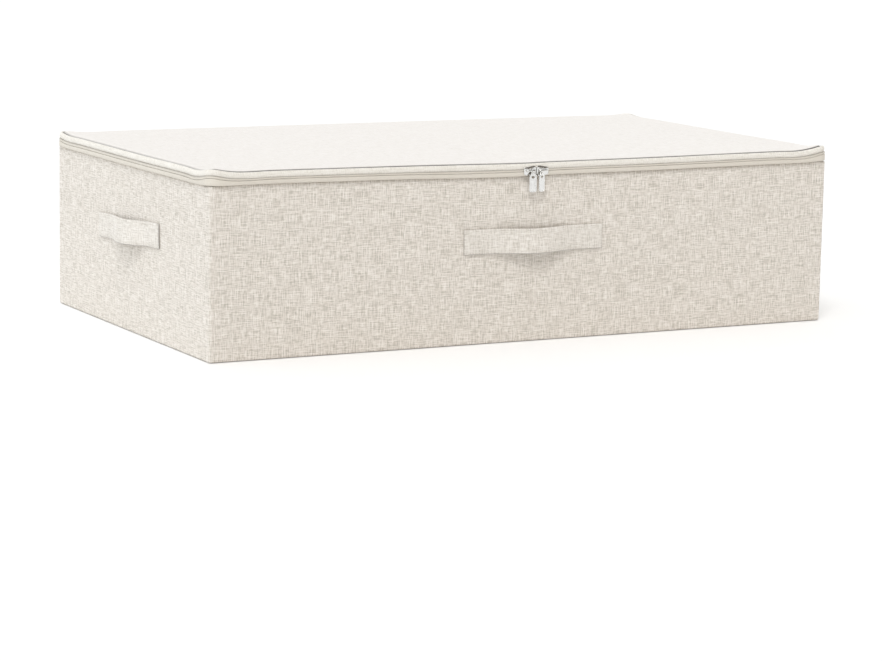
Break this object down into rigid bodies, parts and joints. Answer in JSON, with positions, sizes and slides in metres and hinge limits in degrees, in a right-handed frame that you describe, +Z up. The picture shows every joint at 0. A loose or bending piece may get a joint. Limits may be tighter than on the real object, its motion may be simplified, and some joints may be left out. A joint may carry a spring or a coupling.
{
  "type": "under bed storage box",
  "caption": "Low rectangular fabric storage box with a zipped flap lid, stiffened walls, strap handles and a loose base insert.",
  "frame": {"origin": "centre of the box's underside, which is flat on the floor", "axes": "+X along the width, to the right seen from the front; the front wall with the zip pulls and a handle faces -Y; +Z up through the lid"},
  "size_m": [0.7208, 0.4104, 0.18],
  "materials": {
    "linen": "woven linen-look cloth, matt",
    "lid_linen": "woven linen-look cloth, matt",
    "piping": "cloth-covered cord, matt",
    "strap": "folded and stitched linen-look cloth, matt",
    "zip_tape": "fine woven tape, matt",
    "zip_coil": "moulded nylon coil, satin",
    "board": "grey board, matt",
    "lining": "non-woven cloth with small embossed dots, matt",
    "zip_metal": "polished nickel plate"
  },
  "bodies": {
    "box": {"bottom_panel": "linen", "front_cover": "linen", "back_cover": "linen", "left_cover": "linen", "right_cover": "linen", "front_board_left": "board", "front_board_right": "board", "back_board_left": "board", "back_board_right": "board", "left_board": "board", "right_board": "board", "bottom_lining": "lining", "front_lining": "lining", "back_lining": "lining", "left_lining": "lining", "right_lining": "lining", "zip_tape_lower": "zip_tape", "zip_coil_lower": "zip_coil", "hinge_strip_lower": "linen", "front_handle": "strap", "left_handle": "strap", "right_handle": "strap"},
    "lid": {"lid_cover": "lid_linen", "lid_board_left": "board", "lid_board_right": "board", "lid_lining": "lining", "lid_piping": "piping", "zip_tape_upper": "zip_tape", "zip_coil_upper": "zip_coil", "hinge_strip_upper": "linen"},
    "slider_left": {"slider_left": "zip_metal"},
    "slider_right": {"slider_right": "zip_metal"},
    "pull_left": {"pull_left": "zip_metal"},
    "pull_right": {"pull_right": "zip_metal"},
    "base_insert": {"insert_cloth_top": "lining", "insert_cloth_bottom": "lining", "insert_board_left": "board", "insert_board_right": "board"}
  },
  "joints": [
    {"name": "lid_hinge", "type": "hinge", "parent": "box", "child": "lid", "pos_m": [0, 0.202, 0.171], "axis": [-1, 0, 0], "range_deg": [0, 203]},
    {"name": "slider_left_slide", "type": "slide", "parent": "box", "child": "slider_left", "axis": [-1, 0, 0], "range_m": [0, 0.322]},
    {"name": "slider_right_slide", "type": "slide", "parent": "box", "child": "slider_right", "axis": [1, 0, 0], "range_m": [0, 0.322]},
    {"name": "pull_left_swing", "type": "hinge", "parent": "slider_left", "child": "pull_left", "pos_m": [-0.005, -0.20375, 0.171], "axis": [-1, 0, 0], "range_deg": [-10, 190]},
    {"name": "pull_right_swing", "type": "hinge", "parent": "slider_right", "child": "pull_right", "pos_m": [0.005, -0.20375, 0.171], "axis": [-1, 0, 0], "range_deg": [-10, 190]},
    {"name": "insert_lift", "type": "slide", "parent": "box", "child": "base_insert", "axis": [0, 0, 1], "range_m": [0, 0.165]}
  ]
}
